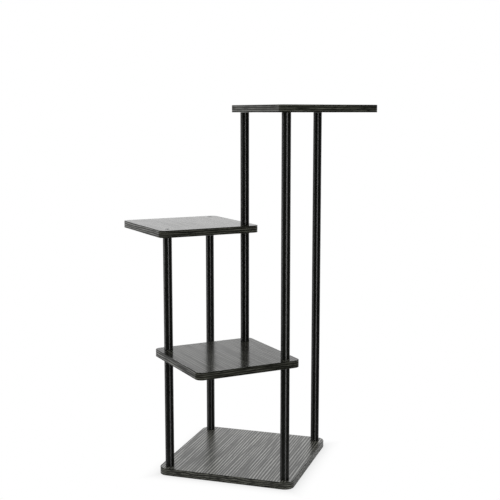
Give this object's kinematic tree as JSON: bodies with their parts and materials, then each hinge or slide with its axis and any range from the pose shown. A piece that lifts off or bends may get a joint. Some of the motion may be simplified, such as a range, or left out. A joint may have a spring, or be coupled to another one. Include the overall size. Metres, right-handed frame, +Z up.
{
  "type": "plant stand",
  "caption": "Tiered plant stand: square boards turned against each other, clamped between round steel tube posts that rise in steps.",
  "frame": {"origin": "on the floor, at the centre of the base board's underside", "axes": "+Z up; +X to the right and +Y to the back as the stand is seen from the front, with its lowest shelf in front"},
  "size_m": [0.6658, 0.5158, 0.918],
  "materials": {
    "laminate": "black open-grain wood-look laminate on particle board, satin",
    "edge_band": "dark grey-brown wood-grain edge band, satin",
    "tube": "gloss black powder coat on steel tube",
    "plug": "zinc-plated turned steel",
    "fastener": "black-oxidised steel"
  },
  "bodies": {
    "root": {"back_left_lower_tube": "tube", "back_left_plugs": "plug", "back_left_upper_tube": "tube", "back_right_lower_tube": "tube", "back_right_middle_tube": "tube", "back_right_plugs": "plug", "back_right_upper_tube": "tube", "base_edge_band": "edge_band", "base_panel": "laminate", "base_screws": "fastener", "centre_lower_tube": "tube", "centre_plugs": "plug", "centre_upper_tube": "tube", "front_left_lower_tube": "tube", "front_left_plugs": "plug", "front_left_upper_tube": "tube", "front_right_lower_tube": "tube", "front_right_middle_tube": "tube", "front_right_plugs": "plug", "front_right_upper_tube": "tube", "left_shelf_edge_band": "edge_band", "left_shelf_panel": "laminate", "left_shelf_screws": "fastener", "lower_shelf_edge_band": "edge_band", "lower_shelf_panel": "laminate", "lower_shelf_screw": "fastener", "shelf_studs": "fastener", "top_shelf_edge_band": "edge_band", "top_shelf_panel": "laminate", "top_shelf_screws": "fastener", "tube_studs": "fastener"}
  },
  "joints": []
}
